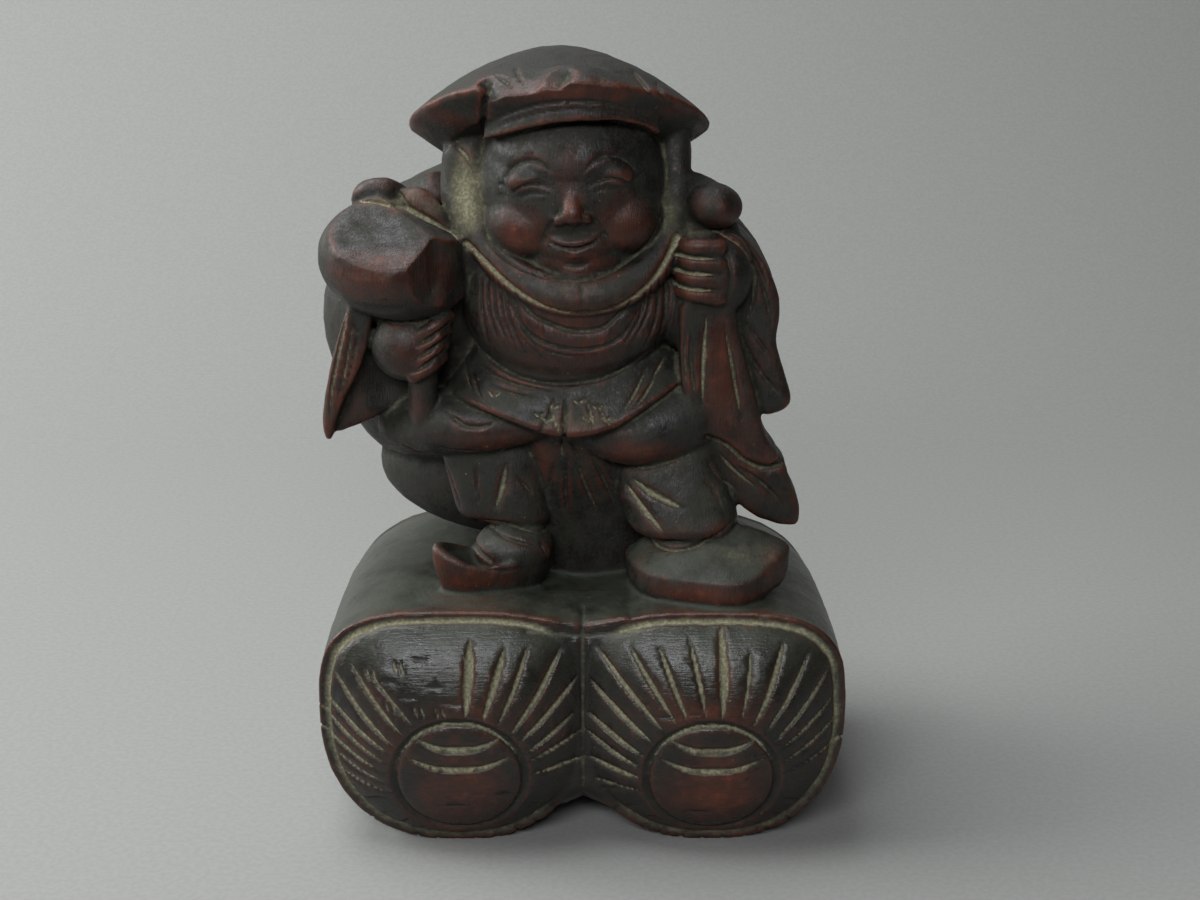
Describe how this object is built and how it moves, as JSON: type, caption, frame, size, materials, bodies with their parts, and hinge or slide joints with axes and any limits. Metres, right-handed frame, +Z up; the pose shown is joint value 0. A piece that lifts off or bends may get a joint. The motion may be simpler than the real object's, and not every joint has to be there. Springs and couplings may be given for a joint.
{
  "type": "carved wooden deity figure",
  "caption": "Carved wooden Daikoku, god of plenty, smiling under a soft wide cap, with a raised mallet and a sack held over the shoulder, standing on rice bales. It stands on a shelf.",
  "frame": {"origin": "On the ground under the middle of the whole work's box", "axes": "+Z up through the figure; the figure faces -Y; +X is to the right of someone who faces the figure"},
  "size_m": [0.1068, 0.079, 0.155],
  "materials": {
    "stained_wood": "dark brown stain, nearly black, rubbed red-brown on the high places, with dull dust in the cuts"
  },
  "bodies": {
    "root": {"daikoku_statue": "stained_wood"}
  },
  "joints": []
}
